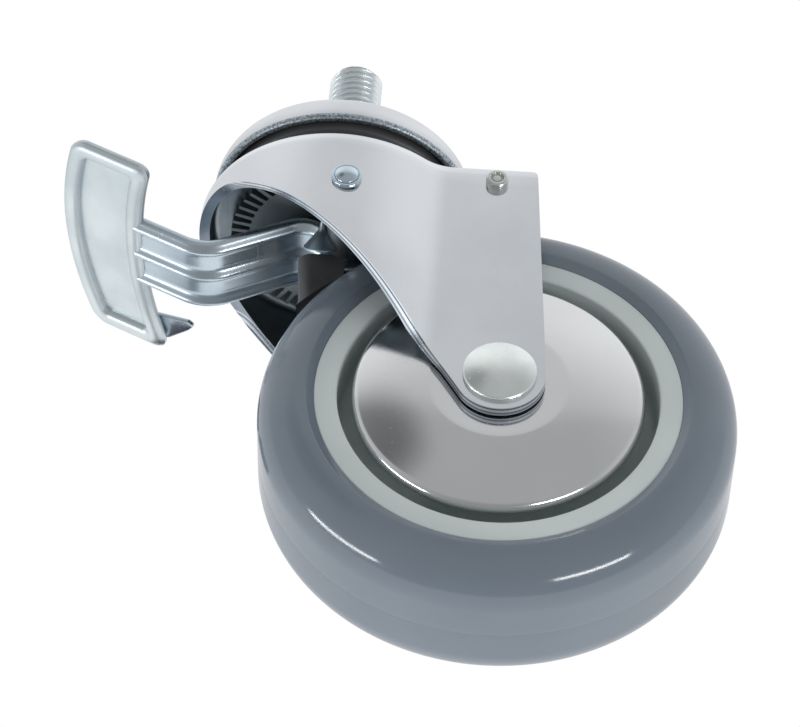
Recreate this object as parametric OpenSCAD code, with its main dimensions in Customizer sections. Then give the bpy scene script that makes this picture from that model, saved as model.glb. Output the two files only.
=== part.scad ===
// Swivel castor with a threaded stem and a foot brake.
// The stem stands on +Z, its seat on the cap's top is the origin, the axle runs along Y,
// the wheel trails towards +X and the brake pedal reaches towards -X.

/* [Stem] */
// Thread diameter of the stem
stem_d = 12; // [8:1:13]
// Length of the stem above its seat
stem_len = 30; // [20:1:50]
// Chamfer at the end of the stem
stem_chamfer = 1; // [0.5:0.1:2]
// Diameter of the king pin below the seat
king_d = 14; // [13.5:0.1:15]

/* [Swivel head] */
// Outer radius of the drawn cap
cap_r = 28.9; // [28.5:0.1:30.5]
// Height of the cap
cap_h = 10.7; // [10:0.1:13]
// Sheet thickness of the cap
cap_t = 1.5; // [1:0.1:2]
// Radius of the cap's shoulder
cap_round = 9; // [7:0.1:9.5]
// Open height between the cap's rim and the fork's crown
swivel_gap = 4.6; // [3.5:0.1:6]
// Ball diameter of the upper race
head_ball_d = 5; // [4:0.1:5.5]
// Number of balls in the upper race
head_balls_n = 18; // [8:1:18]
// Wall of the rubber seal under the cap
seal_t = 5; // [3:0.1:5.5]
// Ball diameter of the lower race
neck_ball_d = 3; // [2.4:0.1:3.2]
// Number of balls in the lower race
neck_balls_n = 20; // [8:1:20]
// Outer radius of the toothed lock ring
lock_r = 24; // [22:0.1:26]
// Thickness of the lock ring
lock_t = 2.1; // [1.8:0.1:2.6]
// Number of teeth round the lock ring
lock_teeth_n = 60; // [30:1:72]

/* [Fork] */
// Outer radius of the round crown
crown_r = 31; // [30.5:0.1:34]
// Sheet thickness of the fork
sheet = 2.8; // [2:0.1:3.2]
// Outside radius of the bend along the fork's top
bend_r = 4; // [3.4:0.1:5]
// Radius of the hollow where the crown runs into a leg
joggle_r = 10; // [6:0.5:14]
// Radius of a leg's end round the axle
leg_end_r = 9.5; // [8.5:0.1:12]
// Reach of the legs' rear edge behind the axle at the top
leg_back = 5.6; // [5:0.1:9]
// Corner radius at the legs' top rear
leg_corner_r = 4; // [2:0.1:6]
// Height of the crown's band above the pedal
front_h = 6; // [5.5:0.1:7]
// Radius of the long arch along the legs' front edge
arch_r = 195; // [150:1:260]
// Radius where the arch meets the front band
front_round = 16; // [8:0.5:20]
// Distance of the wheel's axle behind the swivel axis
trail = 37.4; // [36:0.1:41]

/* [Wheel] */
// Wheel diameter over the tread
wheel_d = 100; // [92:1:125]
// Width of the tyre
tyre_w = 34; // [30:0.5:36]
// Shoulder radius of the tyre
shoulder_r = 9.8; // [6:0.1:11]
// Radius where the tyre sits on the rim
tyre_seat_r = 38.2; // [36:0.1:39]
// Inner radius of the rim
rim_in_r = 33.4; // [32:0.1:34.5]
// Width of the rim
rim_w = 31.6; // [27:0.1:31.8]
// Thickness of the wheel's web
web_t = 8; // [5:0.5:12]
// Gap between the tyre and a fork leg
side_gap = 2.7; // [0.8:0.1:3]

/* [Axle and bearings] */
// Diameter of the axle bolt
axle_d = 8; // [6:0.5:9]
// Diameter of the axle bolt's head
axle_head_d = 15.4; // [12:0.1:17]
// Height of the axle bolt's domed head
axle_head_h = 2.5; // [1.5:0.1:4]
// Width across flats of the axle nut
nut_af = 13; // [12.5:0.5:16]
// Height of the axle nut
nut_h = 6.5; // [4:0.1:8]
// Outer diameter of a wheel bearing
bearing_od = 22; // [20:0.1:24]
// Width of a wheel bearing
bearing_w = 7; // [6:0.1:8]
// Ball diameter of a wheel bearing
bearing_ball_d = 4; // [3.2:0.1:4.4]
// Number of balls in a wheel bearing
bearing_balls_n = 7; // [5:1:8]
// Open ring between a thread guard and the rim
guard_gap = 2.9; // [2.2:0.1:5]
// Sheet thickness of a thread guard
guard_t = 1.2; // [0.8:0.1:1.4]
// Drop of a thread guard's dome from its centre to its rim
guard_drop = 3.6; // [3:0.1:4.2]

/* [Brake pedal] */
// Distance of the pedal's pivot behind the swivel axis
pivot_x = 2.4; // [1:0.1:5]
// Diameter of the pivot pin
pivot_d = 5; // [4:0.1:6]
// Diameter of the pivot pin's heads
pivot_head_d = 6.6; // [6.2:0.1:9]
// Radius of the pedal's boss round the pivot
boss_r = 5.8; // [5:0.1:6.2]
// Gap between the boss and the tread
boss_gap = 1; // [0.6:0.1:2]
// Distance of the pivot below the lock ring
pivot_drop = 9.5; // [9.3:0.1:12]
// Width of the pedal's arm
arm_w = 20; // [17:0.5:24]
// Thickness of the arm's web
arm_t = 1.8; // [1.4:0.1:2.4]
// Height of the ribs under the arm
rib_h = 1; // [0.6:0.1:1.4]
// Width of a rib
rib_w = 3.8; // [3:0.1:4.6]
// Reach of the arm's crest ahead of the pivot
crest_ahead = 11.6; // [10:0.1:14]
// Distance of the arm's crest below the lock ring
crest_drop = 2.4; // [1:0.1:3]
// Reach of the arm's dip ahead of the pivot
dip_ahead = 31; // [28:0.1:34]
// Height of the arm's dip above the pivot
dip_up = -1.9; // [-3:0.1:0]
// Reach of the foot plate's inner edge ahead of the pivot
plate_ahead = 45.8; // [42:0.1:52]
// Height of the foot plate's underside above the pivot, at its inner edge
plate_up = 2.2; // [1:0.1:4]
// Slope of the foot plate
plate_tilt = 25.6; // [15:0.1:35]
// Depth of the foot plate, from inner to outer edge
plate_depth = 20; // [14:0.1:24]
// Width of the foot plate
plate_w = 56.5; // [44:0.5:60]
// Corner radius of the foot plate
plate_round = 3.2; // [2.4:0.1:4.5]
// Sideways shift of the foot plate's curve
plate_skew = -3.5; // [-8:0.1:8]
// Sideways place of the foot plate's middle
plate_y = 0.8; // [-3:0.1:3]
// Thickness of the foot plate
plate_t = 2.6; // [2.2:0.1:4]
// Radius of the foot plate's outer edge
plate_out_r = 80; // [55:0.5:110]
// Radius of the foot plate's inner edge
plate_in_r = 92; // [60:0.5:130]
// Width of the raised rim under the foot plate
plate_rim_w = 4.4; // [3:0.1:5]
// Depth of the panel inside that rim
panel_depth = 1; // [0.6:0.1:1.4]
// Reach of the ear at the foot plate's far corner
ear_l = 11.5; // [8:0.1:14]
// Width of the ear
ear_w = 9.3; // [6:0.1:12]
// Thickness of the ear
ear_t = 1.8; // [1.2:0.1:2.2]
// Travel of the pedal in degrees
press_a = 6; // [4:0.5:8]
// Gap between the brake block and the tread at the end of that travel
brake_gap = 0.4; // [0.3:0.1:1.5]
// Width of the brake block
block_w = 17; // [14:0.5:28]
// Distance of the brake block's front face ahead of the pivot
block_ahead = 10.5; // [9:0.1:12]
// Distance of the brake block's top below the pivot
block_drop = 1.4; // [1:0.1:4]
// Height of the brake block
block_h = 15.6; // [12:0.1:16]
// Diameter of the rear pin that holds the leaf spring
spring_pin_d = 4.8; // [3.6:0.1:5]
// Thickness of the leaf spring
leaf_t = 0.7; // [0.5:0.1:0.9]
// Width of the leaf spring
leaf_w = 7; // [4:0.5:9]

/* [Hidden] */
$fn = 96;

// Clearances
ball_play = 0.12;
shaft_play = 0.05;
running_gap = 0.3;
cut = 1;

// Coarsest step along a bent strip's or outline's arcs, in degrees
bend_step = 4;

// Swivel head levels
stem_r = stem_d / 2;
king_r = king_d / 2;
crown_z = -(cap_h + swivel_gap);
under_z = crown_z - sheet;
race_out_r = cap_r - cap_round;
race_step = 3.5;
race_in_r = king_r + race_step;
head_pitch_r = (race_out_r + race_in_r) / 2;
head_ball_z = (crown_z - cap_t) / 2;
race_share = 0.48;
race_gap = head_ball_d * race_share;
seal_gap = 0.8;
seal_up = 2;
seal_r = cap_r - cap_t - seal_gap;
neck_share = 0.36;
neck_gap = neck_ball_d * neck_share;
neck_step = 1.6;
neck_pitch_r = king_r + neck_step + neck_ball_d;
neck_ball_z = under_z - neck_gap / 2;
lock_top = under_z - neck_gap;
lock_z = lock_top - lock_t;
tooth_l = 4;
tooth_tip = 0.16;
tooth_base = 0.24;
king_play = 1;

// Fork plan: the hollow's centre and the legs
leg_y = tyre_w / 2 + side_gap + sheet;
leg_in_y = leg_y - sheet;
joggle_y = leg_y + joggle_r;
joggle_x = sqrt(pow(crown_r + joggle_r, 2) - pow(joggle_y, 2));
joggle_a = atan2(joggle_y, joggle_x);
leg_top_x = trail + leg_back;
stretch = 0.03;
overrun = 0.3;

// Wheel, pivot and axle levels
wheel_r = wheel_d / 2;
pivot_z = lock_z - pivot_drop;
pivot_reach = wheel_r + boss_gap + boss_r;
axle_z = pivot_z - sqrt(pow(pivot_reach, 2) - pow(trail - pivot_x, 2));
axle_r = axle_d / 2;
crown_in_r = crown_r - sheet;

// Legs' side outline: band, arch and axle end
band_z = crown_z - front_h;
axle_c = [trail, axle_z];
arch_share = 0.74;
arch_dip = 3.4;
arch_start = [-crown_r * arch_share, band_z - arch_dip];
arch_c = meet(arch_start, arch_r, axle_c, arch_r + leg_end_r);
round_z = band_z - front_round;
round_x = arch_c.x + sqrt(pow(arch_r - front_round, 2) - pow(round_z - arch_c.y, 2));
round_c = [round_x, round_z];

// Bearing stack along the axle, counted outwards from the wheel's middle
washer_t = 0.8;
washer_wall = 2.2;
guard_r = rim_in_r - guard_gap;
guard_dome_r = (pow(guard_r, 2) + pow(guard_drop, 2)) / (2 * guard_drop);
guard_in_r = guard_dome_r - guard_t;
guard_seat = leg_in_y - guard_dome_r + sqrt(pow(guard_in_r, 2) - pow(axle_r + washer_wall, 2));
bearing_out = guard_seat - washer_t;
bearing_in = bearing_out - bearing_w;
ball_pitch_r = (axle_r + bearing_od / 2) / 2;
ring_share = 0.3;
ring_wall = (bearing_od / 2 - axle_r) * ring_share;
hub_wall = 3.5;
hub_inset = 1;
hub_r = bearing_od / 2 + hub_wall;
hub_half = bearing_out - hub_inset;
bearing_lip = 1.5;
spacer_wall = 2;
axle_over = 1.5;
dome_share = 0.64;
bead_share = 0.75;

// Pedal outline
pivot_c = [pivot_x, pivot_z];
pivot_r = pivot_d / 2;
arm_half = arm_w / 2;
crest_round = 6;
dip_round = 9;
crest_over = 0.5;
arm_lap = 3;
arm_sink = 0.4;
seam = 0.4;
crest_corner = [pivot_x - crest_ahead, lock_z - crest_drop + crest_over];
dip_corner = [pivot_x - dip_ahead, pivot_z + dip_up];
plate_root = [pivot_x - plate_ahead, pivot_z + plate_up];
plate_dir = [-cos(plate_tilt), sin(plate_tilt)];
arm_end = plate_root + arm_lap * plate_dir + plate_t * [sin(plate_tilt), cos(plate_tilt)];
arm_path = [pivot_c + [-seam, boss_r - arm_sink], crest_corner, dip_corner, arm_end];
arm_rounds = [crest_round, dip_round];
sleeve_wall = 1.7;
sleeve_r = pivot_r + sleeve_wall;
sleeve_end = sqrt(pow(crown_in_r, 2) - pow(abs(pivot_x) + sleeve_r, 2)) - running_gap;
block_top = pivot_z - block_drop;
block_front = pivot_x - block_ahead;
block_c = pivot_c + spin(axle_c - pivot_c, -press_a);
tongue_share = 0.5;
tongue_w = block_w * tongue_share;
tongue_t = 3.2;
tongue_l = 6;
shelf_l = 9.5;
shelf_up = 3.2;
tooth_up = 7.2;

// Rear pin and leaf spring
spring_pin_r = spring_pin_d / 2;
spring_pin_ahead = 3.2;
leaf_seat = 0.15;
leaf_tail = 5;
leaf_drop = 4;
leaf_clear = 2;
leaf_flat = 8;
leaf_tip = 1.5;
pin_over = 1.8;
spring_pin_x = trail - spring_pin_ahead;
leaf_top = under_z - leaf_seat;
spring_pin_z = leaf_top - leaf_t - spring_pin_r - leaf_seat;
leaf_low = lock_z - running_gap;
leaf_path = [
    [spring_pin_x + leaf_tail, leaf_top],
    [spring_pin_x - leaf_drop, leaf_top],
    [lock_r + leaf_clear, leaf_low],
    [pivot_x + leaf_flat, leaf_low],
    [pivot_x + leaf_tip, pivot_z + boss_r + leaf_t + running_gap]
];
leaf_rounds = [2, 2, 3];

// Unit vector, its left-hand normal, and the meeting point of two circles nearer the front
function unit(v) = v / norm(v);
function left(v) = [-v.y, v.x];
function meet(a, ra, b, rb) =
    let (d = norm(b - a), s = (ra * ra - rb * rb + d * d) / (2 * d), h = sqrt(ra * ra - s * s))
    a + s * unit(b - a) - h * left(unit(b - a));

// A direction's angle, and points along an arc between two angles
function heading(v) = atan2(v.y, v.x);
function arc(c, r, from, to) =
    let (steps = max(4, ceil(abs(to - from) / bend_step)))
    [for (k = [0:steps]) let (a = from + (to - from) * k / steps) c + r * [cos(a), sin(a)]];

// A turn's signed angle at the middle of three points, and a vector spun by an angle
function turn(a, b, c) = let (u = unit(b - a), v = unit(c - b)) atan2(cross(u, v), u * v);
function spin(v, a) = [v.x * cos(a) - v.y * sin(a), v.x * sin(a) + v.y * cos(a)];

// Points round a path's corner on an arc, at an offset to the path's left
function bend_arc(a, b, c, r, off) =
    let (
        angle = turn(a, b, c),
        hand = sign(angle),
        along = unit(b - a),
        centre = b - along * r * tan(abs(angle) / 2) + hand * r * left(along),
        steps = ceil(abs(angle) / bend_step)
    )
    [for (k = [0:steps]) centre - hand * (r - hand * off) * spin(left(along), angle * k / steps)];

// One edge of a strip along a path whose corners are rounded
function strip_edge(path, rounds, off) =
    let (last = len(path) - 1, out = unit(path[last] - path[last - 1]))
    concat(
        [path[0] + off * left(unit(path[1] - path[0]))],
        [for (i = [1:last - 1]) each bend_arc(path[i - 1], path[i], path[i + 1], rounds[i - 1], off)],
        [path[last] + off * left(out)]
    );
function reversed(v) = [for (i = [len(v) - 1:-1:0]) v[i]];

// A strip along a path with rounded corners, from one offset to another on its left
module strip(path, rounds, from, to) {
    polygon(concat(strip_edge(path, rounds, from), reversed(strip_edge(path, rounds, to))));
}

// Carries an outline drawn in X and Z across the width
module across(width) {
    translate([0, width / 2, 0]) rotate([90, 0, 0]) linear_extrude(width) children();
}

// Stands a turned piece on the axle, facing +Y, or -Y when near
module on_axle(near = false) {
    translate([trail, 0, axle_z]) rotate([near ? 90 : -90, 0, 0]) children();
}

// A ring of balls
module ball_ring(count, pitch_r, ball_d) {
    for (i = [0:count - 1])
        rotate(i * 360 / count) translate([pitch_r, 0, 0]) sphere(d = ball_d);
}

// A plain ring with its outline in radius and height
module ring(inner, outer, low, high) {
    translate([inner, low]) square([outer - inner, high - low]);
}

module threaded_stem() {
    color("gainsboro") rotate_extrude() polygon([
        [0, lock_z], [king_r, lock_z], [king_r, 0], [stem_r, 0],
        [stem_r, stem_len - stem_chamfer], [stem_r - stem_chamfer, stem_len], [0, stem_len]
    ]);
}

// Half section of the cap, set in from its outside
module cap_half(inset, drop) {
    intersection() {
        union() {
            ring(0, cap_r - inset, -cap_h - drop, -cap_round);
            ring(0, cap_r - cap_round, -cap_round, -inset);
            translate([cap_r - cap_round, -cap_round]) circle(cap_round - inset);
        }
        ring(0, cap_r, -cap_h - drop, 0);
    }
}

module swivel_cap() {
    color("silver") rotate_extrude() difference() {
        cap_half(0, 0);
        cap_half(cap_t, cut);
        ring(0, king_r, -cap_h, cut);
    }
}

module upper_race() {
    color("dimgray") rotate_extrude() difference() {
        ring(race_in_r, race_out_r, head_ball_z + race_gap / 2, -cap_t);
        translate([head_pitch_r, head_ball_z]) circle(head_ball_d / 2 + ball_play);
    }
}

module head_balls() {
    color("lightgray") translate([0, 0, head_ball_z])
        ball_ring(head_balls_n, head_pitch_r, head_ball_d);
}

module neck_balls() {
    color("lightgray") translate([0, 0, neck_ball_z])
        ball_ring(neck_balls_n, neck_pitch_r, neck_ball_d);
}

// Ring under the crown with square teeth round its rim
module lock_ring() {
    step = 360 / lock_teeth_n;
    root_r = lock_r - tooth_l;
    outline = [
        for (i = [0:lock_teeth_n - 1])
        for (p = [[root_r, -tooth_base], [lock_r, -tooth_tip], [lock_r, tooth_tip], [root_r, tooth_base]])
            p[0] * [cos((i + p[1]) * step), sin((i + p[1]) * step)]
    ];
    color("gray") difference() {
        translate([0, 0, lock_z]) linear_extrude(lock_t) polygon(outline);
        translate([0, 0, lock_z - cut]) cylinder(r = king_r, h = lock_t + 2 * cut);
        rotate_extrude() translate([neck_pitch_r, neck_ball_z]) circle(neck_ball_d / 2 + ball_play);
    }
}

// Section through the sheet: wall, bend and top strip, on a wall that bulges out or, hollow, in.
// The stretched sheet of the hollow is a trace thinner, so that it runs into its neighbours.
module wall_section(outside, hollow = false) {
    lap = 3;
    low = axle_z - leg_end_r - cut;
    bend_z = crown_z - bend_r;
    thin = hollow ? stretch : 0;
    translate([outside, 0]) mirror([hollow ? 0 : 1, 0]) {
        ring(thin, sheet - thin, low, bend_z);
        translate([bend_r, bend_z]) intersection() {
            difference() {
                circle(bend_r - thin);
                circle(bend_r - sheet + thin);
            }
            ring(-bend_r, 0, 0, bend_r);
        }
        ring(bend_r, bend_r + lap, under_z + thin, crown_z - thin);
    }
}

// The whole folded sheet before its sides are trimmed
module fork_sheet() {
    back = leg_top_x + leg_end_r;
    inset = bend_r + cut;
    translate([0, 0, under_z]) linear_extrude(sheet) {
        circle(crown_r - inset);
        translate([0, inset - leg_y]) square([back, 2 * (leg_y - inset)]);
    }
    rotate(joggle_a) rotate_extrude(angle = 360 - 2 * joggle_a) wall_section(crown_r);
    for (s = [0, 1]) mirror([0, s, 0]) {
        translate([joggle_x, joggle_y, 0]) rotate(180 + joggle_a - overrun)
            rotate_extrude(angle = 90 - joggle_a + 2 * overrun) wall_section(joggle_r, hollow = true);
        translate([joggle_x, 0, 0]) rotate([90, 0, 90])
            linear_extrude(back - joggle_x) wall_section(leg_y);
    }
}

// Side outline: crown band, leg with a round end, long arch along the front
module fork_side() {
    top = crown_z + cut;
    corner_c = [leg_top_x - leg_corner_r, crown_z - leg_corner_r];
    rear = corner_c + [leg_corner_r, 0] - axle_c;
    rear_a = heading(rear) - acos(leg_end_r / norm(rear));
    polygon(concat(
        [[-crown_r - cut, top], [corner_c.x, top]],
        arc(corner_c, leg_corner_r, 90, 0),
        arc(axle_c, leg_end_r, rear_a, heading(arch_c - axle_c)),
        arc(arch_c, arch_r, heading(axle_c - arch_c), heading(round_c - arch_c)),
        arc(round_c, front_round, heading(round_c - arch_c), 90),
        [[-crown_r - cut, band_z]]
    ));
}

module fork() {
    color("silver") difference() {
        intersection() {
            fork_sheet();
            across(2 * crown_r + cut) fork_side();
        }
        translate([0, 0, under_z - cut]) cylinder(r = king_r + king_play, h = sheet + 2 * cut);
        rotate_extrude() translate([neck_pitch_r, neck_ball_z]) circle(neck_ball_d / 2 + ball_play);
        across_bore(axle_c, axle_r + shaft_play, 2 * leg_y + cut);
        across_bore(pivot_c, pivot_r + shaft_play, 2 * crown_r + cut);
        across_bore([spring_pin_x, spring_pin_z], spring_pin_r + shaft_play, 2 * leg_y + cut);
    }
}

// A round bar or bore across the width, at a place in X and Z
module across_bore(place, r, width) {
    translate([place.x, width / 2, place.y]) rotate([90, 0, 0]) cylinder(r = r, h = width);
}

module crown_race() {
    color("dimgray") rotate_extrude() difference() {
        ring(race_in_r, race_out_r, crown_z, head_ball_z - race_gap / 2);
        translate([head_pitch_r, head_ball_z]) circle(head_ball_d / 2 + ball_play);
    }
}

module dust_seal() {
    color("black") rotate_extrude()
        ring(seal_r - seal_t, seal_r, crown_z, crown_z + swivel_gap + seal_up);
}

// Section of a domed button with a straight edge, standing on height zero
module button(r, edge_h, dome_h) {
    dome_r = (r * r + dome_h * dome_h) / (2 * dome_h);
    ring(0, r, 0, edge_h);
    intersection() {
        translate([0, edge_h + dome_h - dome_r]) circle(dome_r);
        ring(0, r, edge_h, edge_h + dome_h);
    }
}

module axle_bolt() {
    color("whitesmoke") {
        on_axle(near = true) translate([0, 0, leg_y]) rotate_extrude()
            button(axle_head_d / 2, axle_head_h * (1 - dome_share), axle_head_h * dome_share);
        on_axle() translate([0, 0, -leg_y]) cylinder(r = axle_r, h = 2 * leg_y + nut_h + axle_over);
    }
}

module axle_nut() {
    color("gainsboro") on_axle() translate([0, 0, leg_y]) difference() {
        cylinder(d = nut_af / cos(30), h = nut_h, $fn = 6);
        translate([0, 0, -cut]) cylinder(r = axle_r, h = nut_h + 2 * cut);
    }
}

module spacer_washers() {
    color("gainsboro") for (near = [true, false]) on_axle(near)
        rotate_extrude() ring(axle_r + shaft_play, axle_r + washer_wall, bearing_out, guard_seat);
}

module bearing_spacer() {
    color("gainsboro") on_axle()
        rotate_extrude() ring(axle_r + shaft_play, axle_r + spacer_wall, -bearing_in, bearing_in);
}

// Inner or outer ring of a wheel bearing with its ball groove
module bearing_ring(inner, outer) {
    rotate_extrude() difference() {
        ring(inner, outer, bearing_in, bearing_out);
        translate([ball_pitch_r, (bearing_in + bearing_out) / 2])
            circle(bearing_ball_d / 2 + ball_play);
    }
}

module inner_ring() {
    color("lightgray") bearing_ring(axle_r + shaft_play, axle_r + ring_wall);
}

module outer_ring() {
    color("lightgray") bearing_ring(bearing_od / 2 - ring_wall, bearing_od / 2);
}

module bearing_balls() {
    color("lightgray") translate([0, 0, (bearing_in + bearing_out) / 2])
        ball_ring(bearing_balls_n, ball_pitch_r, bearing_ball_d);
}

// Domed sheet disc with a rolled rim, its crown against the leg
module thread_guard() {
    bead_r = guard_t * bead_share;
    color("silver") rotate_extrude() {
        intersection() {
            translate([0, leg_in_y - guard_dome_r]) difference() {
                circle(guard_dome_r, $fn = 360);
                circle(guard_in_r, $fn = 360);
            }
            ring(axle_r + shaft_play, guard_r - bead_r, 0, leg_in_y + cut);
        }
        translate([guard_r - bead_r, leg_in_y - guard_drop - guard_t / 2]) circle(bead_r);
    }
}

module pivot_pin() {
    seat = crown_r + shaft_play;
    edge_h = 1;
    dome_h = 0.8;
    color("aliceblue") {
        across_bore(pivot_c, pivot_r, 2 * seat);
        for (turn_x = [90, -90]) translate([pivot_x, 0, pivot_z]) rotate([turn_x, 0, 0])
            translate([0, 0, seat]) rotate_extrude() button(pivot_head_d / 2, edge_h, dome_h);
    }
}

module spring_pin() {
    bevel = 0.5;
    half = leg_y + pin_over;
    color("gainsboro") translate([spring_pin_x, 0, spring_pin_z]) rotate([90, 0, 0])
        rotate_extrude() polygon([
            [0, -half], [spring_pin_r - bevel, -half], [spring_pin_r, bevel - half],
            [spring_pin_r, half - bevel], [spring_pin_r - bevel, half], [0, half]
        ]);
}

module detent_spring() {
    color("slategray") across(leaf_w) strip(leaf_path, leaf_rounds, 0, leaf_t);
}

// Foot plate's crescent with round corners: x runs outwards from the middle of its inner edge
module crescent(inset) {
    half = plate_w / 2 - inset;
    round_r = plate_round - inset / 2;
    offset(r = round_r) offset(delta = -round_r) intersection() {
        difference() {
            translate([plate_depth - plate_out_r, plate_skew]) circle(plate_out_r - inset, $fn = 240);
            translate([-plate_in_r, plate_skew]) circle(plate_in_r + inset, $fn = 240);
        }
        translate([-plate_depth, -half]) square([2.5 * plate_depth, 2 * half]);
    }
}

// The sloping foot plate with its sunk panel, and a hooked ear at its far corner
module foot_plate() {
    half = plate_w / 2;
    ear = [[0, half - ear_w], [1 - ear_l, half - ear_w], [-ear_l, half - 0.8 * ear_w],
        [-0.85 * ear_l, half - 0.5 * ear_w], [-0.4 * ear_l, half - seam], [0, half - seam]];
    translate([plate_root.x, plate_y, plate_root.y]) rotate([0, plate_tilt, 0]) mirror([1, 0, 0]) {
        difference() {
            linear_extrude(plate_t) crescent(0);
            translate([0, 0, -cut]) linear_extrude(cut + panel_depth) crescent(plate_rim_w);
        }
        translate([0, 0, (plate_t - ear_t) / 2]) linear_extrude(ear_t) polygon(ear);
    }
}

// Bearing part of the pedal: boss round the pin, block tongue and tooth shelf
module pedal_root() {
    across_bore(pivot_c, boss_r, arm_w);
    across(arm_w) polygon([
        [block_front + seam, block_top], pivot_c + [-boss_r, 0], pivot_c, [pivot_x, block_top]
    ]);
    across(tongue_w) translate([block_front + tongue_t, block_top - tongue_l])
        square([tongue_t, tongue_l + cut]);
    across(arm_w) translate(pivot_c + [0, seam]) square([shelf_l, shelf_up - seam]);
}

module brake_pedal() {
    color("lightsteelblue") difference() {
        union() {
            across(arm_w) strip(arm_path, arm_rounds, 0, arm_t);
            for (y = [-1, 0, 1]) translate([0, y * (arm_half - rib_w / 2), 0])
                across(rib_w) strip(arm_path, arm_rounds, 0, arm_t + rib_h);
            foot_plate();
            pedal_root();
        }
        across_bore(pivot_c, pivot_r + shaft_play, arm_w + cut);
    }
}

// Black shoe with a hollow rear face that clears the tread and follows it once the pedal is pressed
module brake_block() {
    corner_r = 3;
    depth = block_ahead;
    color("black") difference() {
        intersection() {
            across(block_w) difference() {
                translate([block_front, block_top - block_h]) square([depth, block_h]);
                translate(block_c) circle(wheel_r + brake_gap, $fn = 240);
                translate(axle_c) circle(wheel_r + boss_gap, $fn = 240);
            }
            translate([block_front, 0, block_top - block_h - cut]) linear_extrude(block_h + 2 * cut) {
                translate([corner_r, -block_w / 2]) square([depth, block_w]);
                translate([0, corner_r - block_w / 2]) square([depth, block_w - 2 * corner_r]);
                for (s = [-1, 1]) translate([corner_r, s * (block_w / 2 - corner_r)]) circle(corner_r);
            }
        }
        across(tongue_w) translate([block_front + tongue_t, block_top - tongue_l])
            square([tongue_t, tongue_l + cut]);
        across_bore(pivot_c, boss_r + shaft_play, block_w + cut);
    }
}

// Two hardened pads on the pedal's shelf, ridged to meet the lock ring
module lock_teeth() {
    pad_gap = 1.2;
    pad_w = (arm_w - leaf_w) / 2 - pad_gap;
    pad_l = shelf_l - sqrt(pow(boss_r, 2) - pow(shelf_up, 2)) - seam;
    ridge_h = 1.2;
    base = tooth_up - shelf_up - ridge_h;
    ridges = 3;
    pitch = pad_w / ridges;
    outline = concat(
        [[pad_w, 0], [0, 0]],
        [for (i = [0:ridges - 1]) for (p = [[0, base], [0.5, base + ridge_h]]) [(i + p[0]) * pitch, p[1]]],
        [[pad_w, base]]
    );
    color("gray") for (s = [0, 1]) mirror([0, s, 0])
        translate([pivot_x + shelf_l - pad_l, arm_half - pad_w, pivot_z + shelf_up])
            rotate([90, 0, 90]) linear_extrude(pad_l) polygon(outline);
}

module pivot_sleeves() {
    color("gainsboro") for (turn_x = [90, -90]) translate([pivot_x, 0, pivot_z]) rotate([turn_x, 0, 0])
        rotate_extrude() ring(pivot_r + shaft_play, sleeve_r, arm_half, sleeve_end);
}

// Moulded rim, web and hub with a bearing seat at each side
module wheel_core() {
    color("darkseagreen") on_axle() rotate_extrude() {
        ring(rim_in_r, tyre_seat_r, -rim_w / 2, rim_w / 2);
        ring(bearing_od / 2, rim_in_r, -web_t / 2, web_t / 2);
        ring(bearing_od / 2, hub_r, -hub_half, hub_half);
        ring(bearing_od / 2 - bearing_lip, bearing_od / 2, -bearing_in, bearing_in);
    }
}

module tyre() {
    half = tyre_w / 2;
    bulge_r = wheel_r - shoulder_r;
    color("slategray") on_axle() rotate_extrude() {
        polygon([
            [tyre_seat_r, -rim_w / 2], [bulge_r, -half], [bulge_r, half], [tyre_seat_r, rim_w / 2]
        ]);
        ring(bulge_r, wheel_r, shoulder_r - half, half - shoulder_r);
        for (s = [-1, 1]) intersection() {
            translate([bulge_r, s * (half - shoulder_r)]) circle(shoulder_r);
            ring(bulge_r, wheel_r, -half, half);
        }
    }
}

threaded_stem();
swivel_cap();
upper_race();
head_balls();
neck_balls();
lock_ring();
fork();
crown_race();
dust_seal();
axle_bolt();
axle_nut();
spacer_washers();
bearing_spacer();
on_axle(near = true) inner_ring();  // inner_ring_near
on_axle() inner_ring();  // inner_ring_far
on_axle(near = true) thread_guard();  // thread_guard_near
on_axle() thread_guard();  // thread_guard_far
pivot_pin();
spring_pin();
detent_spring();
brake_pedal();
brake_block();
lock_teeth();
pivot_sleeves();
wheel_core();
tyre();
on_axle(near = true) outer_ring();  // outer_ring_near
on_axle() outer_ring();  // outer_ring_far
on_axle(near = true) bearing_balls();  // bearing_balls_near
on_axle() bearing_balls();  // bearing_balls_far
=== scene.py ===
import math

import bmesh
import bpy
import numpy as np
from mathutils import Matrix, Vector


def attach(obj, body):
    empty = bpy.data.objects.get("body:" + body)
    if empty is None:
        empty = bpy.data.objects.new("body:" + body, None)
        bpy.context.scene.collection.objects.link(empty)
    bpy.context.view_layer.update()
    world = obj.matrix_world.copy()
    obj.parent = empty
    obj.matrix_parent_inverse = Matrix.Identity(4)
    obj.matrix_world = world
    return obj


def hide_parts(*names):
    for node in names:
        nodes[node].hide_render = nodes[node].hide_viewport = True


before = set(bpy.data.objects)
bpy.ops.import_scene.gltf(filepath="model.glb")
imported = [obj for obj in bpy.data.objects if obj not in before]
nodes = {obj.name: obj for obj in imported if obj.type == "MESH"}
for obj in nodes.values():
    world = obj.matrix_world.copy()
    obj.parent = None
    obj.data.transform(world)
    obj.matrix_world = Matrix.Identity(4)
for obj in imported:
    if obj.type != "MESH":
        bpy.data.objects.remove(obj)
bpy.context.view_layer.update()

# Sizes of the castor in millimetres
MM = 0.001
STEM_R, STEM_LEN, THREAD_PITCH, THREAD_DEPTH = 6.0, 30.0, 1.75, 1.05
THREAD_CREST, THREAD_FLANK, RUNOUT_START, RUNOUT_LEN, TIP_CHAMFER = 0.12, 0.74, 0.6, 1.6, 1.0
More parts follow.
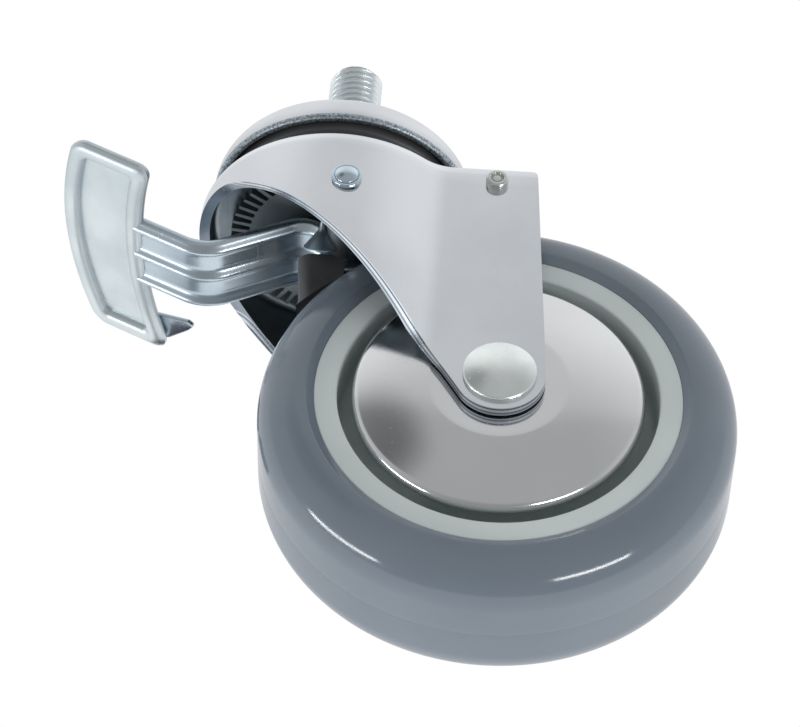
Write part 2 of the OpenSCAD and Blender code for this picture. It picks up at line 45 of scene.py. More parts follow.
KING_R, KING_CHAMFER, KING_GAP, HEAD_LOW = 7.0, 0.6, 1.0, -21.28
CAP_R, CAP_H, CAP_T, CAP_ROUND, CUT_RIM_Z = 28.9, 10.7, 1.5, 9.0, -9.55
SEAL_R, SEAL_T, SEAL_TOP = 26.6, 5.0, -8.7
GROOVE_Z, GROOVE_MOUTH, GROOVE_FLOOR, GROOVE_DEPTH = -12.9, 1.0, 0.4, 0.9
CROWN_R, CROWN_Z, SHEET, BEND_R = 31.0, -15.3, 2.3, 4.0
JOGGLE_R, LEG_Y, LEG_END_R, LEG_TOP_X, CORNER_R = 10.0, 22.5, 9.5, 43.0, 4.0
BAND_Z, ARCH_R, FRONT_ROUND, EDGE_BEVEL = -21.3, 195.0, 16.0, 0.6
ARCH_START = np.array([-22.94, -24.7])
AXLE = np.array([37.4, -75.515])
PIVOT = np.array([2.4, -30.78])
SPRING_PIN = np.array([34.2, -21.5])
WHEEL_R, TYRE_HALF, SHOULDER_R, SEAT_R = 50.0, 17.0, 9.8, 38.2
RIM_IN_R, RIM_HALF, WEB_HALF, HUB_R, HUB_HALF = 33.4, 15.8, 4.0, 14.5, 16.55
BEARING_R, BEARING_SEAT, BORE_R = 11.0, 10.55, 9.5
FLOOR_Z = AXLE[1] - WHEEL_R
AXLE_3D, PIVOT_3D = (AXLE[0], 0.0, AXLE[1]), (PIVOT[0], 0.0, PIVOT[1])
UP, NEAR, FAR = (0, 0, 1), (0, -1, 0), (0, 1, 0)
NO_TRIANGLES = np.zeros((0, 3), int)


# Shapes: grids of points, carried profiles and the meshes made of them

def lattice(rows, cols, wrap_rows=False, wrap_cols=True):
    """Quads of a grid of points: each joins a point, its neighbour, and the two below them."""
    i = np.arange(rows if wrap_rows else rows - 1)[:, None]
    j = np.arange(cols if wrap_cols else cols - 1)[None, :]
    below, beside = (i + 1) % rows, (j + 1) % cols
    corners = [i * cols + j, i * cols + beside, below * cols + beside, below * cols + j]
    return np.stack(np.broadcast_arrays(*corners), -1).reshape(-1, 4)


def fan(first, count, pole, turn):
    """Triangles from a ring of points to one pole."""
    j = np.arange(count)
    ring = [first + j, first + (j + 1) % count]
    ring = ring if turn else ring[::-1]
    return np.stack(ring + [np.full(count, pole)], -1)


def capped_shell(rows, first, last):
    """Closed skin over rings of points: quads between rings and a fan from each end ring to its pole."""
    m, n = rows.shape[:2]
    verts = np.vstack([rows.reshape(-1, 3), first, last])
    tris = np.vstack([fan(0, n, m * n, False), fan((m - 1) * n, n, m * n + 1, True)])
    return verts, lattice(m, n), tris


def tube_shell(rows):
    """Closed skin over rings of points, with the middles of the end rings as its poles."""
    return capped_shell(rows, rows[0].mean(0), rows[-1].mean(0))


def ring_shell(rows):
    """Closed skin over rings of points whose last ring joins the first."""
    m, n = rows.shape[:2]
    return rows.reshape(-1, 3), lattice(m, n, wrap_rows=True), NO_TRIANGLES


def together(*shells):
    """Several skins as one list of points, quads and triangles."""
    start = np.cumsum([0] + [len(s[0]) for s in shells[:-1]])
    return (np.vstack([s[0] for s in shells]),
            np.vstack([s[1] + k for s, k in zip(shells, start)]),
            np.vstack([s[2] + k for s, k in zip(shells, start)]))


def outward(verts, quads, tris):
    """The faces turned so that the volume they enclose is positive."""
    corners = np.vstack([quads[:, [0, 1, 2]], quads[:, [0, 2, 3]], tris])
    a, b, c = verts[corners[:, 0]], verts[corners[:, 1]], verts[corners[:, 2]]
    if np.einsum("ij,ij->", a, np.cross(b, c)) < 0:
        return quads[:, ::-1], tris[:, ::-1]
    return quads, tris


def piece(name, shell, look, body, stands_for=(), crease=38):
    """A mesh object from a skin in millimetres, riding on a body and standing for CAD nodes."""
    verts, quads, tris = shell
    quads, tris = outward(verts, quads, tris)
    mesh = bpy.data.meshes.new(name)
    mesh.from_pydata((verts * MM).tolist(), [], quads.tolist() + tris.tolist())
    mesh.shade_smooth()
    mesh.set_sharp_from_angle(angle=math.radians(crease))
    mesh.materials.append(look)
    obj = bpy.data.objects.new(name, mesh)
    bpy.context.scene.collection.objects.link(obj)
    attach(obj, body)
    if stands_for:
        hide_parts(*stands_for)
    return obj


def arc_points(centre, radius, start, end, count):
    """Points of a circle at even angles from start to end."""
    a = np.linspace(start, end, count)
    return np.asarray(centre) + radius * np.stack([np.cos(a), np.sin(a)], -1)


def heading(v):
    """The angle of a flat direction, from its first axis."""
    return math.atan2(v[1], v[0])


def eased(corners, radii, loop=False, steps=6):
    """A polyline whose corners are replaced by arcs of the given radii, tangent to both sides."""
    pts = np.asarray(corners, float)
    runs = []
    for k, r in enumerate(radii):
        b = pts[k]
        if r == 0 or (not loop and k in (0, len(pts) - 1)):
            runs.append(b[None])
            continue
        u, v = pts[k - 1] - b, pts[(k + 1) % len(pts)] - b
        u, v = u / np.linalg.norm(u), v / np.linalg.norm(v)
        half = 0.5 * math.acos(np.clip(u @ v, -1, 1))
        centre = b + (u + v) / np.linalg.norm(u + v) * r / math.sin(half)
        start = heading(b + u * r / math.tan(half) - centre)
        end = heading(b + v * r / math.tan(half) - centre)
        sweep = (end - start + math.pi) % (2 * math.pi) - math.pi
        runs.append(arc_points(centre, r, start, start + sweep, steps + 1))
    return np.vstack(runs)


def spaced(line, step):
    """The same polyline with extra points, so that no stretch is longer than the step."""
    lengths = np.linalg.norm(np.diff(line, axis=0), axis=1)
    counts = np.maximum(np.ceil(lengths / step), 1).astype(int)
    runs = [np.linspace(a, b, count, endpoint=False) for a, b, count in zip(line, line[1:], counts)]
    return np.vstack(runs + [line[-1:]])


def both_sides(half):
    """A half section in radius and width, then its mirror image from the middle outwards."""
    return np.vstack([half, (half * [1, -1])[::-1]])


def turned_points(profile, origin, axis, count):
    """Each (radius, height) goes to origin + height along the axis + radius times the turning direction."""
    axis = np.asarray(axis, float)
    side = np.cross(axis, [1.0, 0, 0] if abs(axis[0]) < 0.5 else [0, 0, 1.0])
    side /= np.linalg.norm(side)
    third = np.cross(axis, side)
    a = np.linspace(0, 2 * math.pi, count, endpoint=False)
    spoke = np.cos(a)[:, None] * side + np.sin(a)[:, None] * third
    return np.asarray(origin) + profile[:, 1, None, None] * axis + profile[:, 0, None, None] * spoke


def turned_solid(profile, origin, axis, count=128):
    """A profile carried round an axis it starts and ends on."""
    first, last = np.asarray(origin) + profile[[0, -1], 1, None] * np.asarray(axis, float)
    return capped_shell(turned_points(profile[1:-1], origin, axis, count), first, last)


def turned_ring(profile, origin, axis, count=128):
    """A closed profile carried round an axis it stays clear of."""
    return ring_shell(turned_points(profile, origin, axis, count))


def across(outline, half, edge=0.4, steps=3):
    """An outline in X and Z carried across the width, its ends drawn in along a quarter circle."""
    pts = np.asarray(outline, float)
    tangent = np.roll(pts, -1, 0) - np.roll(pts, 1, 0)
    normal = np.stack([tangent[:, 1], -tangent[:, 0]], -1)
    normal /= np.linalg.norm(normal, axis=1, keepdims=True)
    area = np.sum(pts[:, 0] * np.roll(pts[:, 1], -1) - np.roll(pts[:, 0], -1) * pts[:, 1])
    normal *= 1 if area > 0 else -1
    a = np.linspace(0, math.pi / 2, steps + 1)
    inset = np.concatenate([edge * (1 - np.sin(a)), edge * (1 - np.sin(a[::-1]))])
    y = np.concatenate([-half + edge * (1 - np.cos(a)), half - edge * (1 - np.cos(a[::-1]))])
    flat = pts[None] - inset[:, None, None] * normal[None]
    rows = np.stack([flat[..., 0], np.broadcast_to(y[:, None], flat.shape[:2]), flat[..., 1]], -1)
    return tube_shell(rows)


def welded(obj, gap=1e-6):
    """Joins the points of a mesh that lie on each other, and drops the faces that this closes up."""
    work = bmesh.new()
    work.from_mesh(obj.data)
    bmesh.ops.remove_doubles(work, verts=work.verts, dist=gap)
    bmesh.ops.dissolve_degenerate(work, edges=work.edges, dist=gap)
    bmesh.ops.recalc_face_normals(work, faces=work.faces)
    work.to_mesh(obj.data)
    work.free()
    return obj


# Looks: shared effects are node groups, and each finish is one material

SCRATCH_SCALE, SCRATCH_ROUGH, SPECK_SCALE, RIM_GRAIN_SCALE = 1500.0, 0.12, 700.0, 2200.0
HOLLOW_BLEND = 4.6
# Tones across the cut edge: partly real burnish and tear, partly painted reflection lines, bright and dark
EDGE_WEAR_AND_REFLECTION_BANDS = ((0.08, 0.9), (0.17, 0.16), (0.25, 0.2), (0.34, 0.95), (0.55, 0.9), (0.66, 0.3),
              (0.80, 0.38), (0.9, 0.85))


def group(name, takes, gives):
    """A new node group with number sockets, and its input and output nodes."""
    tree = bpy.data.node_groups.new(name, "ShaderNodeTree")
    for label, start in takes.items():
        socket = tree.interface.new_socket(label, in_out="INPUT", socket_type="NodeSocketFloat")
        socket.default_value = start
    for label in gives:
        tree.interface.new_socket(label, in_out="OUTPUT", socket_type="NodeSocketFloat")
    return tree, tree.nodes.new("NodeGroupInput"), tree.nodes.new("NodeGroupOutput")


def add(tree, kind, inputs=None, **settings):
    """A node with its settings; each input takes a value or another node's output."""
    node = tree.nodes.new(kind)
    for key, value in settings.items():
        setattr(node, key, value)
    for key, value in (inputs or {}).items():
        if isinstance(value, bpy.types.NodeSocket):
            tree.links.new(value, node.inputs[key])
        else:
            node.inputs[key].default_value = value
    return node


def soft_patches():
    """Soft patches: a layered noise spread over the whole range from 0 to 1."""
    tree, takes, gives = group("soft_patches", {"Scale": 40.0}, ["Mask"])
    place = add(tree, "ShaderNodeTexCoord")
    noise = add(tree, "ShaderNodeTexNoise", {"Vector": place.outputs["Object"],
                                             "Scale": takes.outputs["Scale"], "Detail": 5.0})
    spread = add(tree, "ShaderNodeMapRange", {"Value": noise.outputs[0], "From Min": 0.32, "From Max": 0.68},
                 interpolation_type="SMOOTHSTEP")
    tree.links.new(spread.outputs[0], gives.inputs["Mask"])
    return tree


def hair_scratches():
    """Hair scratches: a noise drawn out along one slanting direction, of which only the crests stay."""
    tree, takes, gives = group("hair_scratches", {"Scale": SCRATCH_SCALE}, ["Mask"])
    place = add(tree, "ShaderNodeTexCoord")
    drawn = add(tree, "ShaderNodeMapping", {"Vector": place.outputs["Object"],
                                            "Rotation": (0.5, 0.9, 0.3), "Scale": (1.0, 0.03, 1.0)})
    noise = add(tree, "ShaderNodeTexNoise", {"Vector": drawn.outputs[0], "Scale": takes.outputs["Scale"],
                                             "Detail": 1.0})
    crest = add(tree, "ShaderNodeMapRange", {"Value": noise.outputs[0], "From Min": 0.66, "From Max": 0.74})
    tree.links.new(crest.outputs[0], gives.inputs["Mask"])
    return tree


def fine_grain():
    """Fine grain: a noise and half of a finer one, added as a height."""
    tree, takes, gives = group("fine_grain", {"Scale": 900.0}, ["Height"])
    place = add(tree, "ShaderNodeTexCoord").outputs["Object"]
    finer = add(tree, "ShaderNodeMath", {0: takes.outputs["Scale"], 1: 3.1}, operation="MULTIPLY")
    wide = add(tree, "ShaderNodeTexNoise", {"Vector": place, "Scale": takes.outputs["Scale"]})
    tight = add(tree, "ShaderNodeTexNoise", {"Vector": place, "Scale": finer.outputs[0]})
    both = add(tree, "ShaderNodeMath", {0: tight.outputs[0], 1: 0.5, 2: wide.outputs[0]},
               operation="MULTIPLY_ADD")
    tree.links.new(both.outputs[0], gives.inputs["Height"])
    return tree


def dust_specks():
    """Dust specks: the middles of small cells, kept only where a wide noise is high."""
    tree, takes, gives = group("dust_specks", {"Scale": SPECK_SCALE}, ["Mask"])
    place = add(tree, "ShaderNodeTexCoord").outputs["Object"]
    cells = add(tree, "ShaderNodeTexVoronoi", {"Vector": place, "Scale": takes.outputs["Scale"]})
    dot = add(tree, "ShaderNodeMapRange", {"Value": cells.outputs["Distance"], "From Min": 0.26,
                                           "From Max": 0.14})
    wide = add(tree, "ShaderNodeTexNoise", {"Vector": place, "Scale": 220.0})
    kept = add(tree, "ShaderNodeMapRange", {"Value": wide.outputs[0], "From Min": 0.56, "From Max": 0.62})
    both = add(tree, "ShaderNodeMath", {0: dot.outputs[0], 1: kept.outputs[0]}, operation="MULTIPLY")
    tree.links.new(both.outputs[0], gives.inputs["Mask"])
    return tree


PATCHES, SCRATCHES, GRAIN, SPECKS = soft_patches(), hair_scratches(), fine_grain(), dust_specks()


def finish(name, clean, worn, smooth, rough, grain, grain_scale=900.0, patch_scale=45.0,
           specks=None, metallic=1.0, **fixed):
    """A finish that runs in soft patches from a clean to a worn colour and from smooth to rough gloss."""
    mat = bpy.data.materials.new(name)
    mat.use_nodes = True
    tree = mat.node_tree
    shader = tree.nodes["Principled BSDF"]
    shader.inputs["Metallic"].default_value = metallic
    for key, value in fixed.items():
        shader.inputs[key.replace("_", " ")].default_value = value
    patch = add(tree, "ShaderNodeGroup", {"Scale": patch_scale}, node_tree=PATCHES)
    line = add(tree, "ShaderNodeGroup", {"Scale": SCRATCH_SCALE}, node_tree=SCRATCHES)
    height = add(tree, "ShaderNodeGroup", {"Scale": grain_scale}, node_tree=GRAIN)
    tint = add(tree, "ShaderNodeMix", {0: patch.outputs[0], 6: (*clean, 1), 7: (*worn, 1)}, data_type="RGBA")
    colour = tint.outputs[2]
    if specks:
        dot = add(tree, "ShaderNodeGroup", {"Scale": SPECK_SCALE}, node_tree=SPECKS)
        colour = add(tree, "ShaderNodeMix", {0: dot.outputs[0], 6: colour, 7: (*specks, 1)},
                     data_type="RGBA").outputs[2]
    tree.links.new(colour, shader.inputs["Base Color"])
    gloss = add(tree, "ShaderNodeMapRange", {"Value": patch.outputs[0], "To Min": smooth, "To Max": rough})
    scored = add(tree, "ShaderNodeMath", {0: line.outputs[0], 1: SCRATCH_ROUGH, 2: gloss.outputs[0]},
                 operation="MULTIPLY_ADD")
    tree.links.new(scored.outputs[0], shader.inputs["Roughness"])
    bump = add(tree, "ShaderNodeBump", {"Height": height.outputs[0], "Distance": grain, "Strength": 1.0})
    tree.links.new(bump.outputs[0], shader.inputs["Normal"])
    return mat


chrome = finish("bright_chrome", (0.79, 0.815, 0.84), (0.705, 0.735, 0.765), 0.11, 0.19, 4e-7, 500.0, 28.0)
# Fork's inner faces: dull thin plating, and darker still as painted shade for the cavity inside the fork
dull_inside_and_painted_shade = finish("dull_inside_and_painted_shade", (0.33, 0.375, 0.40), (0.22, 0.255, 0.28), 0.3, 0.44, 2e-6, 700.0)
edge_steel = finish("edge_steel", (0.92, 0.95, 0.98), (0.80, 0.85, 0.90), 0.16, 0.26, 1e-6, 900.0, 120.0)
# Arm, boss and ear: a darker, bluer copy of the pedal's zinc, painted shade and dark reflection
shaded_arm_zinc = finish("shaded_arm_zinc", (0.60, 0.68, 0.735), (0.47, 0.555, 0.62), 0.23, 0.32, 4e-7, 600.0, 55.0)
# Conical studs: a still darker copy of the pedal's zinc, painted shade for the gap above the block
shaded_stud_zinc = finish("shaded_stud_zinc", (0.40, 0.50, 0.56), (0.31, 0.40, 0.45), 0.3, 0.42, 4e-7, 600.0, 120.0)
# Lock ring teeth: dark steel, darkened further as painted shade for the inside of the crown
shaded_tooth_steel = finish("shaded_tooth_steel", (0.27, 0.30, 0.31), (0.20, 0.23, 0.24), 0.4, 0.55, 1e-6)
pin_steel = finish("pin_steel", (0.78, 0.79, 0.76), (0.60, 0.61, 0.59), 0.2, 0.3, 4e-7, 900.0, 300.0)
cap_chrome = finish("cap_chrome", (0.70, 0.72, 0.745), (0.64, 0.66, 0.69), 0.12, 0.2, 4e-7, 500.0)
guard_chrome = finish("guard_chrome", (0.77, 0.78, 0.79), (0.74, 0.75, 0.76), 0.10, 0.14, 3e-7, 300.0)
zinc = finish("zinc_steel", (0.76, 0.81, 0.82), (0.65, 0.71, 0.73), 0.26, 0.38, 1e-6, 1200.0)
head_zinc = finish("head_zinc", (0.94, 0.98, 0.965), (0.76, 0.81, 0.80), 0.22, 0.34, 2e-7, 900.0, 90.0)
blue_zinc = finish("blue_zinc", (0.66, 0.77, 0.845), (0.56, 0.66, 0.73), 0.1, 0.2, 4e-7, 900.0, 300.0)
pale_zinc = finish("pale_zinc", (0.68, 0.74, 0.755), (0.57, 0.635, 0.665), 0.36, 0.48, 1e-6, 1100.0, 60.0)
race_steel = finish("race_steel", (0.30, 0.32, 0.34), (0.18, 0.195, 0.21), 0.25, 0.4, 1e-6)
tread_grey = finish("grey_tread", (0.188, 0.230, 0.275), (0.175, 0.214, 0.257), 0.10, 0.15, 8e-7, 800.0,
                    specks=(0.195, 0.225, 0.255), metallic=0.0, IOR=1.58)
core_grey = finish("grey_core", (0.735, 0.805, 0.80), (0.69, 0.76, 0.755), 0.34, 0.46, 2e-6, 1500.0,
                   metallic=0.0)
black_rubber = finish("black_rubber", (0.082, 0.083, 0.085), (0.096, 0.097, 0.098), 0.32, 0.5, 5e-6, 1400.0,
                      specks=(0.12, 0.12, 0.122), metallic=0.0)


def cut_rim(mat, level, soft, colour):
    """Paints the cap's cut lower rim: below a height the colour and gloss turn to bare grainy steel."""
    tree = mat.node_tree
    shader = tree.nodes["Principled BSDF"]
    place = add(tree, "ShaderNodeTexCoord")
    part = add(tree, "ShaderNodeSeparateXYZ", {0: place.outputs["Object"]})
    mask = add(tree, "ShaderNodeMapRange", {"Value": part.outputs["Z"], "From Min": (level + soft) * MM,
                                            "From Max": (level - soft) * MM})
    grain = add(tree, "ShaderNodeGroup", {"Scale": RIM_GRAIN_SCALE}, node_tree=GRAIN)
    spark = add(tree, "ShaderNodeMapRange", {"Value": grain.outputs[0], "From Min": 0.55, "From Max": 0.95,
                                             "To Min": 0.35, "To Max": 1.5})
    speckled = add(tree, "ShaderNodeMix", {0: 1.0, 6: (*colour, 1), 7: spark.outputs[0]}, data_type="RGBA",
                   blend_type="MULTIPLY")
    before = shader.inputs["Base Color"].links[0].from_socket
    mixed = add(tree, "ShaderNodeMix", {0: mask.outputs[0], 6: before, 7: speckled.outputs[2]},
                data_type="RGBA")
    tree.links.new(mixed.outputs[2], shader.inputs["Base Color"])
    gloss = shader.inputs["Roughness"].links[0].from_socket
    dull = add(tree, "ShaderNodeMath", {0: mask.outputs[0], 1: 0.3, 2: gloss}, operation="MULTIPLY_ADD")
    tree.links.new(dull.outputs[0], shader.inputs["Roughness"])


def sheared_edge_and_reflections(mat):
    """Bands across the sheet's cut edge by depth below the outer face: partly its real rolled, burnished,
    torn and burred zones, partly painted reflections, bright and dark lines that stand in for what the edge
    mirrors.
    The depth is the smooth maximum of two: crown radius less the distance from the swivel axis, and leg
    face less |y|."""
    tree = mat.node_tree
    shader = tree.nodes["Principled BSDF"]
    place = add(tree, "ShaderNodeTexCoord")
    part = add(tree, "ShaderNodeSeparateXYZ", {0: place.outputs["Object"]})
    plan = add(tree, "ShaderNodeCombineXYZ", {"X": part.outputs["X"], "Y": part.outputs["Y"]})
    reach = add(tree, "ShaderNodeVectorMath", {0: plan.outputs[0]}, operation="LENGTH")
    crown_depth = add(tree, "ShaderNodeMath", {0: CROWN_R * MM, 1: reach.outputs["Value"]},
                      operation="SUBTRACT")
    side = add(tree, "ShaderNodeMath", {0: part.outputs["Y"]}, operation="ABSOLUTE")
    leg_depth = add(tree, "ShaderNodeMath", {0: LEG_Y * MM, 1: side.outputs[0]}, operation="SUBTRACT")
    depth = add(tree, "ShaderNodeMath", {0: crown_depth.outputs[0], 1: leg_depth.outputs[0],
                                         2: HOLLOW_BLEND * MM}, operation="SMOOTH_MAX")
    share = add(tree, "ShaderNodeMapRange", {"Value": depth.outputs[0], "From Max": SHEET * MM})
    bands = add(tree, "ShaderNodeValToRGB", {0: share.outputs[0]})
    ramp = bands.color_ramp
    ramp.elements[0].color, ramp.elements[1].color = (1, 1, 1, 1), (0.35, 0.38, 0.42, 1)
    for at, tone in EDGE_WEAR_AND_REFLECTION_BANDS:
        stop = ramp.elements.new(at)
        stop.color = (tone, tone * 1.04, tone * 1.08, 1)
    before = shader.inputs["Base Color"].links[0].from_socket
    banded = add(tree, "ShaderNodeMix", {0: 1.0, 6: before, 7: bands.outputs[0]}, data_type="RGBA",
                 blend_type="MULTIPLY")
    tree.links.new(banded.outputs[2], shader.inputs["Base Color"])


cut_rim(cap_chrome, CUT_RIM_Z, 0.12, (0.42, 0.48, 0.52))
# The fork's cut edge gets bands that are partly real wear and partly painted reflections
sheared_edge_and_reflections(edge_steel)


# Threaded stem and swivel head

def screw_stem():
    """Screw: the radius falls by the thread depth times a clipped wave of height / pitch less turn.
    A plain turned king pin carries on below it."""
    turn = np.linspace(0, 2 * math.pi, 96, endpoint=False)[None, :]
    z = np.linspace(0.05, STEM_LEN, 330)[:, None]
    wave = np.abs(2 * ((z / THREAD_PITCH - turn / (2 * math.pi)) % 1) - 1)
    runout = np.clip((z - RUNOUT_START) / RUNOUT_LEN, 0, 1)
    cut = np.clip((wave - THREAD_CREST) / THREAD_FLANK, 0, 1) * runout
    tip = np.minimum(STEM_R, STEM_R - TIP_CHAMFER + (STEM_LEN - z))
    radius = np.minimum(STEM_R - THREAD_DEPTH * cut, tip)
    rows = np.stack([radius * np.cos(turn), radius * np.sin(turn), z + 0 * turn], -1)
    king_line = np.array([[KING_R - KING_CHAMFER, HEAD_LOW], [KING_R, HEAD_LOW + KING_CHAMFER],
                          [KING_R, -0.05], [KING_R - 0.05, 0.0], [STEM_R, 0.02]])
    king = turned_points(king_line, (0, 0, 0), UP, 96)
    king = np.stack([king[..., 1] * -1, king[..., 0], king[..., 2]], -1)
    return tube_shell(np.concatenate([king, rows]))


piece("stem_with_thread", screw_stem(), zinc, "mount_head", ["threaded_stem"], 60)

cap_line = eased([(KING_R, 0), (CAP_R, 0), (CAP_R, -CAP_H), (CAP_R - CAP_T, -CAP_H), (CAP_R - CAP_T, -CAP_T),
                  (KING_R, -CAP_T)], [0.1, CAP_ROUND, 0.7, 0.3, CAP_ROUND - CAP_T, 0.1], True, 14)
piece("pressed_cap", turned_ring(cap_line, (0, 0, 0), UP, 192), cap_chrome, "mount_head",
      ["swivel_cap"])

seal_in, groove_r = SEAL_R - SEAL_T, SEAL_R - GROOVE_DEPTH
seal_line = eased([(seal_in, CROWN_Z), (SEAL_R, CROWN_Z), (SEAL_R, GROOVE_Z - GROOVE_MOUTH),
                   (groove_r, GROOVE_Z - GROOVE_FLOOR), (groove_r, GROOVE_Z + GROOVE_FLOOR),
                   (SEAL_R, GROOVE_Z + GROOVE_MOUTH), (SEAL_R, SEAL_TOP), (seal_in, SEAL_TOP)],
                  [0.2, 0.4, 0.3, 0.2, 0.2, 0.3, 0.5, 0.2], True, 4)
piece("ribbed_seal", turned_ring(seal_line, (0, 0, 0), UP, 160), black_rubber, "fork_frame",
      ["dust_seal"])


# Fork: one folded sheet

def meeting(a, ra, b, rb):
    """The point at distance ra from a and rb from b, on the front side of the line between them."""
    d = np.linalg.norm(b - a)
    along = (b - a) / d
    s = (ra ** 2 - rb ** 2 + d ** 2) / (2 * d)
    return a + s * along - math.sqrt(ra ** 2 - s ** 2) * np.array([-along[1], along[0]])


def fork_edge():
    """Lower edge of a leg in X and Z: round end from its rearmost point, long arch, then the front round,
    at even steps along the crown's plan circle, as far as the front middle."""
    arch_c = meeting(ARCH_START, ARCH_R, AXLE, ARCH_R + LEG_END_R)
    round_z = BAND_Z - FRONT_ROUND
    round_x = arch_c[0] + math.sqrt((ARCH_R - FRONT_ROUND) ** 2 - (round_z - arch_c[1]) ** 2)
    round_c = np.array([round_x, round_z])
    sweep = -heading(arch_c - AXLE) % (2 * math.pi)
    low = arc_points(AXLE, LEG_END_R, 0, -sweep, 60)
    arch = arc_points(arch_c, ARCH_R, heading(AXLE - arch_c), heading(round_c - arch_c), 90)
    front_x = -CROWN_R * np.cos(np.linspace(math.acos(-arch[-1, 0] / CROWN_R), 0, 60))
    front = np.stack([front_x, round_z + np.sqrt(FRONT_ROUND ** 2 - (front_x - round_x) ** 2)], -1)
    return np.vstack([low, arch[1:], front[1:]])


def fork_plan():
    """Plan of a leg's outside from the front middle back: crown arc, hollow arc, straight leg.
    Gives the points and their outward normals."""
    lift = LEG_Y + JOGGLE_R
    hollow_x = math.sqrt((CROWN_R + JOGGLE_R) ** 2 - lift ** 2)
    joint_a = math.atan2(lift, hollow_x)
    crown_a = np.linspace(math.pi, 2 * math.pi - joint_a, 400)
    hollow_a = np.linspace(math.pi - joint_a, math.pi / 2, 120)[1:]
    leg_x = np.linspace(hollow_x, AXLE[0] + 2 * LEG_END_R, 60)[1:]
    crown_n = np.stack([np.cos(crown_a), np.sin(crown_a)], -1)
    hollow_n = -np.stack([np.cos(hollow_a), np.sin(hollow_a)], -1)
    points = np.vstack([CROWN_R * crown_n, np.array([hollow_x, -lift]) - JOGGLE_R * hollow_n,
                        np.stack([leg_x, np.full(len(leg_x), -LEG_Y)], -1)])
    normals = np.vstack([crown_n, hollow_n, np.tile([0.0, -1.0], (len(leg_x), 1))])
    return points, normals


def fork_sheet():
    """Outside of the sheet: columns stand on the lower edge, rows run up the wall, round the bend and in
    over the plate to the crown's middle line. Behind the axle the columns lean to the rear edge."""
    edge = fork_edge()
    plan, normal = fork_plan()
    run = np.concatenate([[0], np.cumsum(np.linalg.norm(np.diff(plan, axis=0), axis=1))])

    def at(x):
        """The point and the outward normal of the plan at an X."""
        s = np.interp(x, plan[:, 0], run)
        p = np.stack([np.interp(s, run, plan[:, k]) for k in (0, 1)], -1)
        n = np.stack([np.interp(s, run, normal[:, k]) for k in (0, 1)], -1)
        return p, n / np.linalg.norm(n, axis=-1, keepdims=True)

    rise = np.linspace(0, 1, 22)[:, None]
    hub_x = AXLE[0]
    lean = (LEG_TOP_X - hub_x) / LEG_END_R
    top_x = np.where(edge[:, 0] > hub_x, hub_x + (edge[:, 0] - hub_x) * lean, edge[:, 0])
    bend_z = CROWN_Z - BEND_R
    wall_x = edge[:, 0] + (top_x - edge[:, 0]) * rise
    wall_z = edge[:, 1] + (bend_z - edge[:, 1]) * rise
    wall = np.concatenate([at(wall_x)[0], wall_z[..., None]], -1)

    turn = np.linspace(0, math.pi / 2, 10)[1:, None]
    limit = LEG_TOP_X - CORNER_R + CORNER_R * np.cos(turn)
    draw = (limit - hub_x) / (LEG_TOP_X - hub_x)
    bend_x = np.where(top_x > hub_x, hub_x + (top_x - hub_x) * draw, top_x + 0 * turn)
    p, n = at(bend_x)
    p = p - BEND_R * (1 - np.cos(turn))[..., None] * n
    bend = np.concatenate([p, np.broadcast_to(bend_z + BEND_R * np.sin(turn), bend_x.shape)[..., None]], -1)

    rim = bend[-1]
    hole = np.sqrt(np.maximum((KING_R + KING_GAP) ** 2 - rim[:, 0] ** 2, 0))
    inward = np.linspace(0, 1, 9)[1:, None]
    y = rim[:, 1] + (-np.minimum(hole, -rim[:, 1]) - rim[:, 1]) * inward
    plate = np.stack([rim[:, 0] + 0 * y, y, rim[:, 2] + 0 * y], -1)
    return np.concatenate([wall, bend, plate])


def add_fork():
    """The sheet's outside and its mirror image joined, then given its thickness and an eased cut edge."""
    half = fork_sheet()
    m, n = half.shape[:2]
    near, far = half.reshape(-1, 3), (half * [1, -1, 1]).reshape(-1, 3)
    quads = lattice(m, n, wrap_cols=False)
    skin = (np.vstack([near, far]), np.vstack([quads, quads[:, ::-1] + m * n]), NO_TRIANGLES)
    obj = welded(piece("folded_fork", skin, chrome, "fork_frame", ["fork"]), 2e-6)
    # Inner faces take the darker inside finish: dull plating plus painted shade
    obj.data.materials.append(dull_inside_and_painted_shade)
    obj.data.materials.append(edge_steel)
    thick = obj.modifiers.new("sheet", "SOLIDIFY")
    thick.thickness, thick.offset = SHEET * MM, -1
    thick.material_offset, thick.material_offset_rim = 1, 2
    soft = obj.modifiers.new("sheared_edge_and_reflections", "BEVEL")
    soft.width, soft.segments = EDGE_BEVEL * MM, 4
    soft.limit_method, soft.angle_limit = "ANGLE", math.radians(50)
    soft.material = 2
    soft.harden_normals = True


add_fork()


# Wheel: tyre, core, guards

# Tread from its flat to the parting line, as change of radius and half width
PARTING_STEPS = np.array([[0.0, 4.0], [0.0, 0.5], [-0.01, 0.3], [-0.035, 0.12]])
GUARD_T, GUARD_TOP, AXLE_R = 1.2, 19.7, 4.0
GUARD_FLAT_R, GUARD_CURL_R, GUARD_CURL = 14.6, 29.0, 2.0
GUARD_SLOPES, GUARD_CURL_END = (math.radians(6), math.radians(17.5)), math.radians(100)


def tyre_line():
    """Half tyre section in radius and width: seat, side lip, shoulder arc, tread; then mirrored."""
    bulge = WHEEL_R - SHOULDER_R
    lip = eased([(SEAT_R, RIM_HALF), (bulge - 0.2, TYRE_HALF), (bulge + 1.2, TYRE_HALF)],
                [0, 0.8, 0], False, 4)
    shoulder = arc_points((bulge, TYRE_HALF - SHOULDER_R), SHOULDER_R, math.pi / 2, 0, 28)
    return both_sides(np.vstack([lip[:-1], shoulder, PARTING_STEPS + [WHEEL_R, 0]]))


piece("moulded_tyre", turned_ring(tyre_line(), AXLE_3D, NEAR, 256), tread_grey, "wheel",
      ["tyre"], 30)

